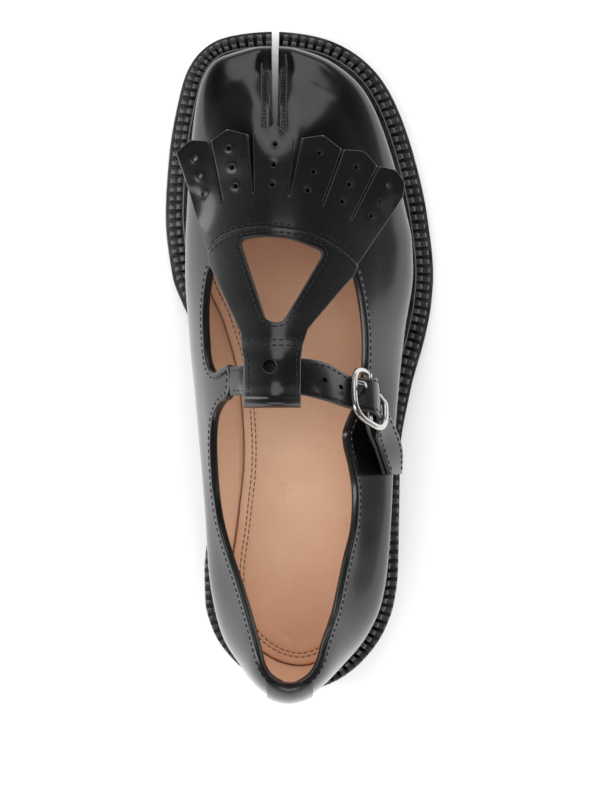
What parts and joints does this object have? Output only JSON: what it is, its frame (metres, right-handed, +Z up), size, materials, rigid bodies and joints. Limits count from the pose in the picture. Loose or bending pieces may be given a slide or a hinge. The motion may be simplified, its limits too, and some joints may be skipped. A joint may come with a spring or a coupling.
{
  "type": "split-toe mary jane shoe",
  "caption": "Split-toe mary jane with a fringed vamp flap, open Y-shaped instep strap, buckled ankle strap and a chunky ribbed lug sole with a block heel.",
  "frame": {"origin": "on the floor under the middle of the heel block, on its central lug", "axes": "+Y to the toes, +X to the lateral side (right shoe), +Z up"},
  "size_m": [0.11, 0.268, 0.0949],
  "materials": {
    "rubber": "satin moulded rubber with fine grain",
    "calf": "polished black calf with broad soft reflections",
    "tan_leather": "matt vegetable tan with fine grain",
    "silver": "polished silver-coloured plating"
  },
  "bodies": {
    "root": {"outsole": "rubber", "heel": "rubber", "midsole": "rubber", "welt": "rubber", "insole": "tan_leather", "upper": "calf", "back_strip": "calf", "kiltie": "calf", "y_strap": "calf", "ankle_strap": "calf", "chape": "calf", "buckle_frame": "silver", "buckle_prong": "silver"}
  },
  "joints": []
}
